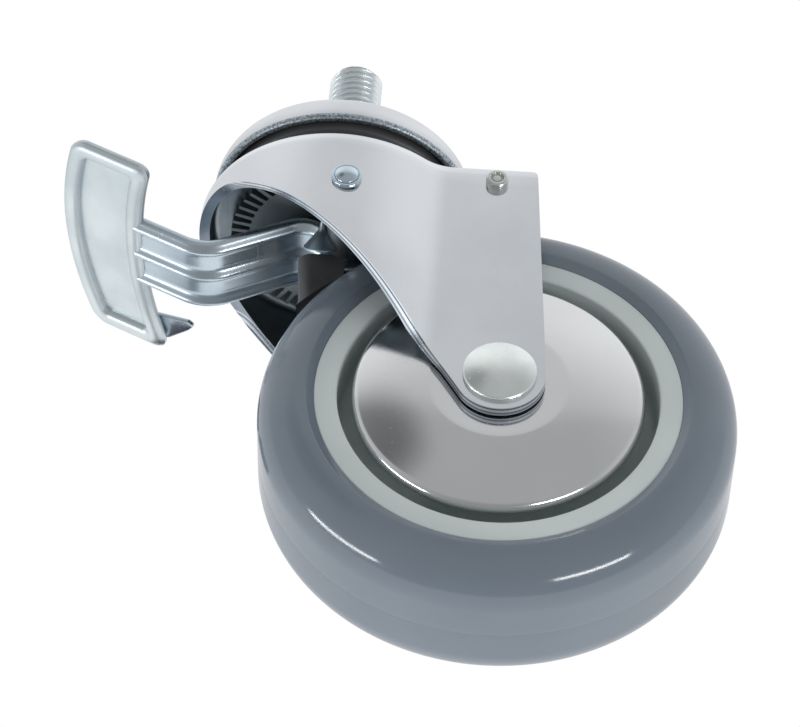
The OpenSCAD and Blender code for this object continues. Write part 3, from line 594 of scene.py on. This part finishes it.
core_side = np.array([(SEAT_R, RIM_HALF), (RIM_IN_R, RIM_HALF), (RIM_IN_R, WEB_HALF), (HUB_R, WEB_HALF),
                      (HUB_R, HUB_HALF), (BEARING_R, HUB_HALF), (BEARING_R, BEARING_SEAT),
                      (BORE_R, BEARING_SEAT)])
core_round = [0.3, 0.5, 1.6, 1.6, 0.5, 0.3, 0.1, 0.1]
core_line = eased(both_sides(core_side), core_round + core_round[::-1], True, 4)
piece("moulded_core", turned_ring(core_line, AXLE_3D, NEAR, 192), core_grey, "wheel",
      ["wheel_core"])


def guard_line():
    """Dished disc: a flat middle, then a slope that grows with radius, then a curl; the inner line is set in
    by the sheet along the normal."""
    r = np.concatenate([np.linspace(AXLE_R + 0.05, GUARD_FLAT_R - 0.3, 12),
                        np.linspace(GUARD_FLAT_R, GUARD_CURL_R, 48)])
    grown = np.clip((r - GUARD_FLAT_R) / (GUARD_CURL_R - GUARD_FLAT_R), 0, 1)
    slope = np.where(r >= GUARD_FLAT_R, GUARD_SLOPES[0] + (GUARD_SLOPES[1] - GUARD_SLOPES[0]) * grown, 0.0)
    fall = np.concatenate([[0], np.cumsum(np.diff(r) * np.tan(0.5 * (slope[1:] + slope[:-1])))])
    turn = np.linspace(GUARD_SLOPES[1], GUARD_CURL_END, 14)[1:]
    curl_r = r[-1] + GUARD_CURL * (np.sin(turn) - math.sin(slope[-1]))
    curl_z = -fall[-1] + GUARD_CURL * (np.cos(turn) - math.cos(slope[-1]))
    angle = np.concatenate([slope, turn])
    out = np.stack([np.concatenate([r, curl_r]), GUARD_TOP + np.concatenate([-fall, curl_z])], -1)
    inn = out - GUARD_T * np.stack([np.sin(angle), np.cos(angle)], -1)
    return np.vstack([out, inn[::-1]])


for side, axis in (("near", NEAR), ("far", FAR)):
    piece("domed_guard_" + side, turned_ring(guard_line(), AXLE_3D, axis, 192), guard_chrome, "fork_frame",
          ["thread_guard_" + side])


# Fasteners

BOLT_END, BOLT_CHAMFER, BOLT_HEAD_R, BOLT_HEAD_EDGE, BOLT_DOME = -30.5, 0.6, 7.7, 0.9, 1.6
NUT_END, NUT_FLATS, NUT_CHAMFER, NUT_CONE = 29.0, 13.0, 0.8, 1.75
RIVET_R, RIVET_EDGE, RIVET_DOME, COLLAR_R, COLLAR_H, COLLAR_LOW = 2.5, 0.95, 0.85, 3.3, 0.85, 0.6
REAR_PIN_R, REAR_PIN_HALF, PLUG_R, PLUG_SINK, SLIT_SINK = 2.4, 24.3, 0.9, 0.35, 0.8


def button_line(radius, edge, dome, soft):
    """Half section of a domed head from its pole to its seat, the corner eased."""
    ball = (radius ** 2 + dome ** 2) / (2 * dome)
    r = np.linspace(0, radius, 24)[:-3]
    top = np.stack([r, edge + dome - ball + np.sqrt(ball ** 2 - r ** 2)], -1)
    return np.vstack([top, eased([top[-1], (radius, edge + 0.1), (radius, 0)], [0, soft, 0], False, 5)[1:]])


bolt_head = button_line(BOLT_HEAD_R, BOLT_HEAD_EDGE, BOLT_DOME, 0.6) + [0, LEG_Y]
bolt_line = np.vstack([bolt_head, (AXLE_R, LEG_Y), (AXLE_R, BOLT_END + BOLT_CHAMFER),
                       (AXLE_R - BOLT_CHAMFER, BOLT_END), (0, BOLT_END)])
piece("domed_axle_bolt", turned_solid(bolt_line, AXLE_3D, NEAR, 128), head_zinc, "fork_frame",
      ["axle_bolt"])


def hex_nut(low, high, flats, bore):
    """Hexagon: the radius is half the flats over the cosine of the angle from the nearest flat, capped by a
    cone at each end."""
    a = np.linspace(0, 2 * math.pi, 180, endpoint=False)[None, :]
    ends = np.array([0, 0, 0.35, NUT_CHAMFER])
    h = np.concatenate([low + ends, high - ends[::-1]])[:, None]
    hexagon = flats / 2 / np.cos((a + math.pi / 6) % (math.pi / 3) - math.pi / 6)
    corner = flats / 2 / math.cos(math.pi / 6)
    depth = np.maximum(np.maximum(low + NUT_CHAMFER - h, h - high + NUT_CHAMFER), 0)
    r = np.minimum(hexagon, corner - NUT_CONE * depth)
    r[[0, -1]] = bore
    rows = np.stack([AXLE[0] + r * np.cos(a), h + 0 * a, AXLE[1] + r * np.sin(a)], -1)
    return ring_shell(rows)


piece("chamfered_nut", hex_nut(LEG_Y, NUT_END, NUT_FLATS, AXLE_R + 0.02), zinc, "fork_frame",
      ["axle_nut"], 25)

rivet_collar = eased([(RIVET_R + 0.05, COLLAR_LOW), (RIVET_R + 0.25, COLLAR_H), (COLLAR_R, COLLAR_H),
                      (COLLAR_R, 0)], [0, 0.1, 0.25, 0], False, 5)
rivet_head = np.vstack([button_line(RIVET_R, RIVET_EDGE, RIVET_DOME, 0.3)[:-1], rivet_collar])
rivet_line = both_sides(np.vstack([rivet_head + [0, CROWN_R + 0.05], (RIVET_R, CROWN_R)]))
piece("riveted_pivot", turned_solid(rivet_line, PIVOT_3D, NEAR, 64), blue_zinc, "fork_frame",
      ["pivot_pin"])

plug_end = REAR_PIN_HALF - PLUG_SINK
pin_half = eased([(0, plug_end), (PLUG_R, plug_end), (PLUG_R + 0.25, REAR_PIN_HALF - SLIT_SINK),
                  (PLUG_R + 0.55, REAR_PIN_HALF), (REAR_PIN_R, REAR_PIN_HALF), (REAR_PIN_R, 20.0)],
                 [0, 0.2, 0.1, 0.15, 0.5, 0], False, 4)
piece("tubular_rear_pin", turned_solid(both_sides(pin_half), (SPRING_PIN[0], 0, SPRING_PIN[1]), NEAR, 64),
      pin_steel, "fork_frame", ["spring_pin"])


# Brake pedal

ARM_HALF, ARM_THIN, ARM_EDGE, ARM_EDGE_DROP = 10.0, 1.55, 0.5, 0.45
RIB_RISE, RIB_W, RIB_SHARP = 1.45, 3.8, 4.0
ARM_PATH, ARM_BENDS = [(-0.4, -27.75), (-4.4, -20.83), (-28.6, -32.68)], [0, 7.9, 9, 0]
ARM_OVERLAP, ARM_STEP = 1.2, 0.7
BOSS_R, BOSS_HALF, WEDGE_HALF, WEDGE_RISE = 5.8, 8.3, 4.0, 1.4
SHELF_LEN, SHELF_LOW, SHELF_HIGH = 9.5, 0.4, 3.2
ROOT = np.array([-43.4, -28.58])
TILT = math.radians(25.6)
OUT = np.array([-math.cos(TILT), math.sin(TILT)])
LIFT = np.array([math.sin(TILT), math.cos(TILT)])
PLATE_T, PLATE_DEPTH, PLATE_W, PLATE_ROUND, PLATE_SKEW, PLATE_Y = 2.6, 20.0, 56.5, 3.2, -3.5, 0.8
PLATE_OUT_R, PLATE_IN_R, RIM_W, RIM_PROUD, RIM_BLUNT, PANEL = 80.0, 92.0, 4.0, 0.3, 0.8, 1.5
EAR_RISE, EAR_LOW, EAR_HIGH = 0.3, 1.6, 2.8
STUD_AT, STUD_AXIS = np.array([-2.6, 10.6, -32.3]), np.array([-0.05, 0.845, 0.53])
BLOCK_FRONT, BLOCK_TOP, BLOCK_H, BLOCK_HALF, BLOCK_ROUND = -8.1, -32.18, 15.6, 8.5, 3.0
BLOCK_FLAT, BLOCK_EASE, BLOCK_LEAN = 5.0, 0.7, 0.09
PIN_ROOM, TREAD_GAP, PRESSED_GAP, PRESS = 2.7, 1.0, 0.4, math.radians(6)


def arm_skin():
    """Ribbed strip carried along a path: flat on top, and below it ridges as powers of a cosine."""
    path = np.vstack([ARM_PATH, ROOT + ARM_OVERLAP * OUT + PLATE_T * LIFT])
    line = spaced(eased(path, ARM_BENDS, False, 20), ARM_STEP)
    along = np.gradient(line, axis=0)
    along /= np.linalg.norm(along, axis=1, keepdims=True)
    down = np.stack([-along[:, 1], along[:, 0]], -1)
    y = np.linspace(-ARM_HALF, ARM_HALF, 121)
    pitch = ARM_HALF - RIB_W / 2
    rib = (0.5 + 0.5 * np.cos(2 * math.pi * y / pitch)) ** RIB_SHARP
    past = np.clip((np.abs(y) - ARM_HALF + ARM_EDGE) / ARM_EDGE, 0, 1)
    drop = ARM_EDGE_DROP * (1 - np.sqrt(1 - past ** 2))
    loop_y = np.concatenate([y, y[::-1]])
    loop_t = np.concatenate([ARM_THIN + RIB_RISE * rib - drop, drop[::-1]])
    rows = np.empty((len(line), len(loop_y), 3))
    rows[..., [0, 2]] = line[:, None] + loop_t[:, None] * down[:, None]
    rows[..., 1] = loop_y
    return tube_shell(rows)


def on_plate(local):
    """Points given as reach from the root, width and height, placed on the tilted foot plate."""
    flat = ROOT + local[..., :1] * OUT + local[..., 2:] * LIFT
    return np.stack([flat[..., 0], local[..., 1] + PLATE_Y, flat[..., 1]], -1)


def plate_loop(inset):
    """Crescent outline at an inset: two arcs, their ends drawn in along quarter circles, and short sides."""
    half, corner = PLATE_W / 2 - inset, max(PLATE_ROUND - inset / 2, 0.6)
    end = np.linspace(0, math.pi / 2, 10)
    gap = corner * (1 - np.sin(end))
    y_end = half - corner * (1 - np.cos(end))[::-1]
    middle = np.linspace(-half + corner, half - corner, 70)[1:-1]
    y = np.concatenate([-y_end[::-1], middle, y_end])
    draw = np.concatenate([gap, 0 * middle, gap[::-1]])
    outer = PLATE_DEPTH - PLATE_OUT_R + np.sqrt((PLATE_OUT_R - inset) ** 2 - (y - PLATE_SKEW) ** 2) - draw
    inner = -PLATE_IN_R + np.sqrt((PLATE_IN_R + inset) ** 2 - (y - PLATE_SKEW) ** 2) + draw
    return np.vstack([np.stack([outer, y], -1), np.stack([inner, y], -1)[::-1]])


def plate_skin():
    """Foot plate: outlines at growing inset and height, from the sunk panel's middle line, over the rounded
    rim, round the edge and back to the middle line of the top."""
    bead = np.linspace(0, math.pi, 13)[:-1]
    crest = PANEL - (PANEL + RIM_PROUD) * np.sin(bead) ** RIM_BLUNT
    rim = np.stack([RIM_W / 2 * (1 + np.cos(bead)), crest], -1)
    steps = np.vstack([(RIM_W + 1.5, PANEL), (RIM_W + 0.7, PANEL), rim, (0, 0.95), (0, PLATE_T - 0.9),
                       (0.2, PLATE_T - 0.35), (0.6, PLATE_T - 0.08), (1.1, PLATE_T)])
    loops = [np.insert(plate_loop(inset), 2, height, axis=1) for inset, height in steps]
    first, last = loops[0], loops[-1]
    low, high = 0.5 * (first + first[::-1]), 0.5 * (last + last[::-1])
    points = on_plate(np.stack([low, 0.5 * (low + first)] + loops + [0.5 * (high + last), high]))
    m, n = points.shape[:2]
    return points.reshape(-1, 3), lattice(m, n), NO_TRIANGLES


def ear_skin(outline):
    """A plan outline beside the foot plate, its edges eased, that rises in proportion to its reach."""
    verts, quads, tris = across(outline, (EAR_HIGH - EAR_LOW) / 2)
    rise = (EAR_LOW + EAR_HIGH) / 2 + EAR_RISE * np.maximum(-verts[:, 0], 0)
    return on_plate(np.stack([verts[:, 0], verts[:, 2], verts[:, 1] + rise], -1)), quads, tris


ear = eased([(3.0, 20.3), (-8.8, 20.3), (-10.2, 21.6), (-8.8, 23.4), (-4.2, 27.2), (3.0, 27.5)],
            [0, 0.7, 0.9, 2.0, 3.0, 0], True, 6)
boss_half = eased([(0, BOSS_HALF), (BOSS_R, BOSS_HALF), (BOSS_R, 0)], [0, 0.6, 0], False, 5)
boss_line = np.vstack([boss_half, (boss_half * [1, -1])[::-1][1:]])
wedge = eased([(BLOCK_FRONT + WEDGE_RISE, BLOCK_TOP), PIVOT + [-BOSS_R, WEDGE_RISE], PIVOT,
               (PIVOT[0], BLOCK_TOP)], [0.3, 0.5, 0, 0], True, 5)
shelf = eased([PIVOT + [0, SHELF_LOW], PIVOT + [SHELF_LEN, SHELF_LOW], PIVOT + [SHELF_LEN, SHELF_HIGH],
               PIVOT + [0, SHELF_HIGH]], [0, 0.4, 0.4, 0], True, 4)
body_skin = together(arm_skin(), turned_solid(boss_line, PIVOT_3D, NEAR, 96), across(wedge, WEDGE_HALF),
                     across(shelf, BOSS_HALF), ear_skin(ear))

stud_half = eased([(0.5, 5.6), (0.8, 4.0), (4.2, 0.2), (4.2, -0.2)], [0, 3.0, 0.2, 0], False, 6)
stud_line = np.vstack([(0, 5.7), stud_half, (0, -0.2)])
studs = together(*[turned_solid(stud_line, STUD_AT * [1, side, 1], STUD_AXIS * [1, side, 1], 64)
                   for side in (-1, 1)])

# The pedal's arm and studs take darker copies of its zinc as painted shade; the foot plate keeps the pale
# zinc
piece("conical_studs", studs, shaded_stud_zinc, "pedal", ["brake_pedal"])
piece("ribbed_pedal", body_skin, shaded_arm_zinc, "pedal", ["brake_pedal"])
welded(piece("foot_plate", plate_skin(), pale_zinc, "pedal", ["brake_pedal"], 50))


def circle_front(centre, radius, z):
    """The smaller X of a circle in X and Z at each height, or its middle's X where it doesn't reach."""
    return centre[0] - np.sqrt(np.maximum(radius ** 2 - (z - centre[1]) ** 2, 0))


def block_skin():
    """Shoe: at each height a rounded-front plan outline, whose rear keeps clear of three circles: the pivot
    pin's, the tread's, and the tread's as the fully pressed pedal meets it."""
    fall = np.linspace(0, math.pi / 2, 5)
    z = np.concatenate([BLOCK_TOP - BLOCK_EASE * (1 - np.cos(fall)),
                        np.linspace(BLOCK_TOP - BLOCK_EASE - 0.2, BLOCK_TOP - BLOCK_H, 40)])
    draw = np.concatenate([BLOCK_EASE * (1 - np.sin(fall)), np.zeros(40)])
    back_turn = np.array([[math.cos(PRESS), math.sin(PRESS)], [-math.sin(PRESS), math.cos(PRESS)]])
    pressed = PIVOT + back_turn @ (AXLE - PIVOT)
    rear = np.minimum.reduce([circle_front(pressed, WHEEL_R + PRESSED_GAP, z),
                              circle_front(AXLE, WHEEL_R + TREAD_GAP, z),
                              circle_front(PIVOT, PIN_ROOM, z)]) - draw
    a = np.linspace(0, math.pi / 2, 10)
    corner_y = BLOCK_HALF - BLOCK_ROUND + BLOCK_ROUND * np.sin(a)
    corner = np.stack([BLOCK_ROUND * (1 - np.cos(a)), corner_y], -1)
    flat = np.column_stack([np.zeros(12), np.linspace(-BLOCK_FLAT, BLOCK_FLAT, 12)])
    front = np.vstack([(corner * [1, -1])[::-1], flat, corner])
    lean = BLOCK_LEAN * (BLOCK_TOP - z)
    narrow = (1 - draw / BLOCK_HALF)[:, None]
    x = np.minimum(BLOCK_FRONT + (lean + draw)[:, None] + front[None, :, 0], rear[:, None])
    skin = np.stack([x, front[None, :, 1] * narrow, z[:, None] + 0 * x], -1)
    back_y = np.linspace(BLOCK_HALF, -BLOCK_HALF, 14)[None, :] * narrow
    back = np.stack([rear[:, None] + 0 * back_y, back_y, z[:, None] + 0 * back_y], -1)
    return tube_shell(np.concatenate([skin, back], 1))


welded(piece("shaped_shoe", block_skin(), black_rubber, "pedal", ["brake_block"]))


# CAD parts that keep their shape

def refinish(look, *names):
    """Gives CAD parts a finish in place of their own."""
    for name in names:
        nodes[name].data.materials.clear()
        nodes[name].data.materials.append(look)


refinish(race_steel, "upper_race", "head_balls", "neck_balls", "crown_race", "inner_ring_near",
         "inner_ring_far", "outer_ring_near", "outer_ring_far", "bearing_balls_near", "bearing_balls_far",
         "detent_spring", "pivot_sleeves")
# Lock ring and teeth in the darkened steel: painted shade inside the crown
refinish(shaded_tooth_steel, "lock_ring", "lock_teeth")
refinish(zinc, "spacer_washers", "bearing_spacer")


# Floor, dark cards painting shade into reflections, camera, light

FLOOR_HALF, CARD_Y = 3000.0, 36.0
CAMERA_AT = Vector((0.038893, -0.530463, -0.513861))
CAMERA_RIGHT, CAMERA_UP = Vector((0.99754, -0.01578, 0.06831)), Vector((-0.06196, -0.65437, 0.75363))
CAMERA_AHEAD = Vector((-0.03281, 0.75601, 0.65374))

scene = bpy.context.scene
scene.view_settings.view_transform = "Standard"


def stage_sheet(name, corners, colour):
    """A flat sheet of one colour with four corners in millimetres; gives the object and its node tree."""
    mat = bpy.data.materials.new(name)
    mat.use_nodes = True
    mat.node_tree.nodes["Principled BSDF"].inputs["Base Color"].default_value = (*colour, 1)
    mesh = bpy.data.meshes.new(name)
    mesh.from_pydata((np.array(corners) * MM).tolist(), [], [(0, 1, 2, 3)])
    mesh.materials.append(mat)
    obj = bpy.data.objects.new(name, mesh)
    scene.collection.objects.link(obj)
    return obj, mat.node_tree


def clear_where(tree, mask):
    """Lets a material's surface turn clear wherever the mask is one."""
    clear = add(tree, "ShaderNodeBsdfTransparent")
    swap = add(tree, "ShaderNodeMixShader", {0: mask, 1: tree.nodes["Principled BSDF"].outputs[0],
                                             2: clear.outputs[0]})
    tree.links.new(swap.outputs[0], tree.nodes["Material Output"].inputs["Surface"])


def painted_shade_card(name, left, right, low, high, colour=(0.06, 0.075, 0.1), reach=27.0):
    """A dark upright card that only reflections see, and only from farther away than its reach: painted
    shade that stands in for the shadowed table beside the castor.
    """
    corners = ((left, CARD_Y, low), (right, CARD_Y, low), (right, CARD_Y, high), (left, CARD_Y, high))
    card, tree = stage_sheet(name, corners, colour)
    rays = add(tree, "ShaderNodeLightPath")
    close = add(tree, "ShaderNodeMath", {0: rays.outputs["Ray Length"], 1: reach * MM},
                operation="LESS_THAN")
    clear_where(tree, close.outputs[0])
    card.visible_camera = card.visible_diffuse = card.visible_transmission = card.visible_shadow = False


floor_corners = [(x * FLOOR_HALF, y * FLOOR_HALF, FLOOR_Z) for x, y in ((-1, -1), (1, -1), (1, 1), (-1, 1))]
floor, floor_tree = stage_sheet("floor", floor_corners, (0.82, 0.82, 0.82))
clear_where(floor_tree, add(floor_tree, "ShaderNodeNewGeometry").outputs["Backfacing"])
floor.visible_diffuse = floor.visible_glossy = floor.visible_transmission = floor.visible_shadow = False

# Dark cards as painted shade in the reflections of the arm, the ear and the foot plate's root
painted_shade_card("arm_shade_card", -2, 26, -76, -30)
painted_shade_card("ear_shade_card", -47, -28, -47, -31, reach=0.0)
painted_shade_card("root_shade_card", -66, -40, -68, -47.5, (0.2, 0.25, 0.3))

cam = bpy.data.cameras.new("camera")
cam.lens, cam.sensor_width, cam.sensor_fit = 147.3, 36.0, "HORIZONTAL"
cam.clip_start, cam.clip_end = 0.01, 20.0
cam_obj = bpy.data.objects.new("camera", cam)
cam_obj.matrix_world = Matrix.Translation(CAMERA_AT) @ Matrix(
    (CAMERA_RIGHT, CAMERA_UP, -CAMERA_AHEAD)).transposed().to_4x4()
scene.collection.objects.link(cam_obj)
scene.camera = cam_obj

world = bpy.data.worlds.new("studio")
scene.world = world
world.use_nodes = True
sky_tree = world.node_tree
sky_tree.nodes.clear()
sky_place = add(sky_tree, "ShaderNodeTexCoord").outputs["Generated"]


def lobe(axis, low, high, gain, before):
    """Adds a soft patch of light: gain times a smooth step of the cosine to an axis."""
    axis = Vector(axis).normalized()
    dot = add(sky_tree, "ShaderNodeVectorMath", {0: sky_place, 1: axis}, operation="DOT_PRODUCT")
    step = add(sky_tree, "ShaderNodeMapRange", {"Value": dot.outputs["Value"], "From Min": low,
                                                "From Max": high}, interpolation_type="SMOOTHSTEP")
    total = add(sky_tree, "ShaderNodeMath", {0: step.outputs[0], 1: gain, 2: before},
                operation="MULTIPLY_ADD")
    return total.outputs[0]


# Light from above and from both sides, a dark patch at the near upper left, and less from below
glow = lobe((0, 0, 1), 0.50, 0.60, 0.13, 0.45)
glow = lobe((0, 0, 1), 0.54, 0.90, 0.28, glow)
glow = lobe((1, 0, 0.6), 0.45, 0.92, 0.15, glow)
glow = lobe((-1, 0, 0.6), 0.45, 0.92, 0.15, glow)
glow = lobe((-0.50, -0.78, 0.38), 0.94, 0.995, -0.3, glow)
glow = lobe((0, -0.3, -1), 0.45, 0.95, -0.12, glow)
# The bright table that the castor lies on fills its far side
table = lobe((0, 0, -1), -0.6, 0.5, 0.28, 0.82)
level = lobe((0, 1, 0), -0.03, 0.05, 1.0, 0.0)
table = add(sky_tree, "ShaderNodeMath", {0: table, 1: level}, operation="MULTIPLY").outputs[0]
glow = add(sky_tree, "ShaderNodeMath", {0: glow, 1: table}, operation="MAXIMUM").outputs[0]
# The camera itself sees plain white
sky = add(sky_tree, "ShaderNodeBackground", {"Color": (0.985, 0.99, 1.0, 1), "Strength": glow})
white = add(sky_tree, "ShaderNodeBackground", {"Color": (1, 1, 1, 1), "Strength": 1.0})
rays = add(sky_tree, "ShaderNodeLightPath")
both = add(sky_tree, "ShaderNodeMixShader", {0: rays.outputs["Is Camera Ray"], 1: sky.outputs[0],
                                             2: white.outputs[0]})
add(sky_tree, "ShaderNodeOutputWorld", {"Surface": both.outputs[0]})


def strip_light(name, towards, long_way, distance, size, power):
    """An area light that faces the wheel from a direction, its long side along a second direction."""
    lamp = bpy.data.lights.new(name, "AREA")
    lamp.shape, lamp.size, lamp.size_y, lamp.energy = "RECTANGLE", size[0], size[1], power
    obj = bpy.data.objects.new(name, lamp)
    z = Vector(towards).normalized()
    x = Vector(long_way)
    x = (x - z * x.dot(z)).normalized()
    centre = Vector(AXLE_3D) * MM + z * distance
    obj.matrix_world = Matrix.Translation(centre) @ Matrix((x, z.cross(x), z)).transposed().to_4x4()
    scene.collection.objects.link(obj)


strip_light("left_strip", (-0.85, -0.17, -0.47), (0.385, -0.16, -0.66), 0.7, (0.42, 0.06), 1.1)
strip_light("right_strip", (0.62, -0.46, -0.63), (0.6, 0.1, 0.48), 0.7, (0.36, 0.06), 1.0)
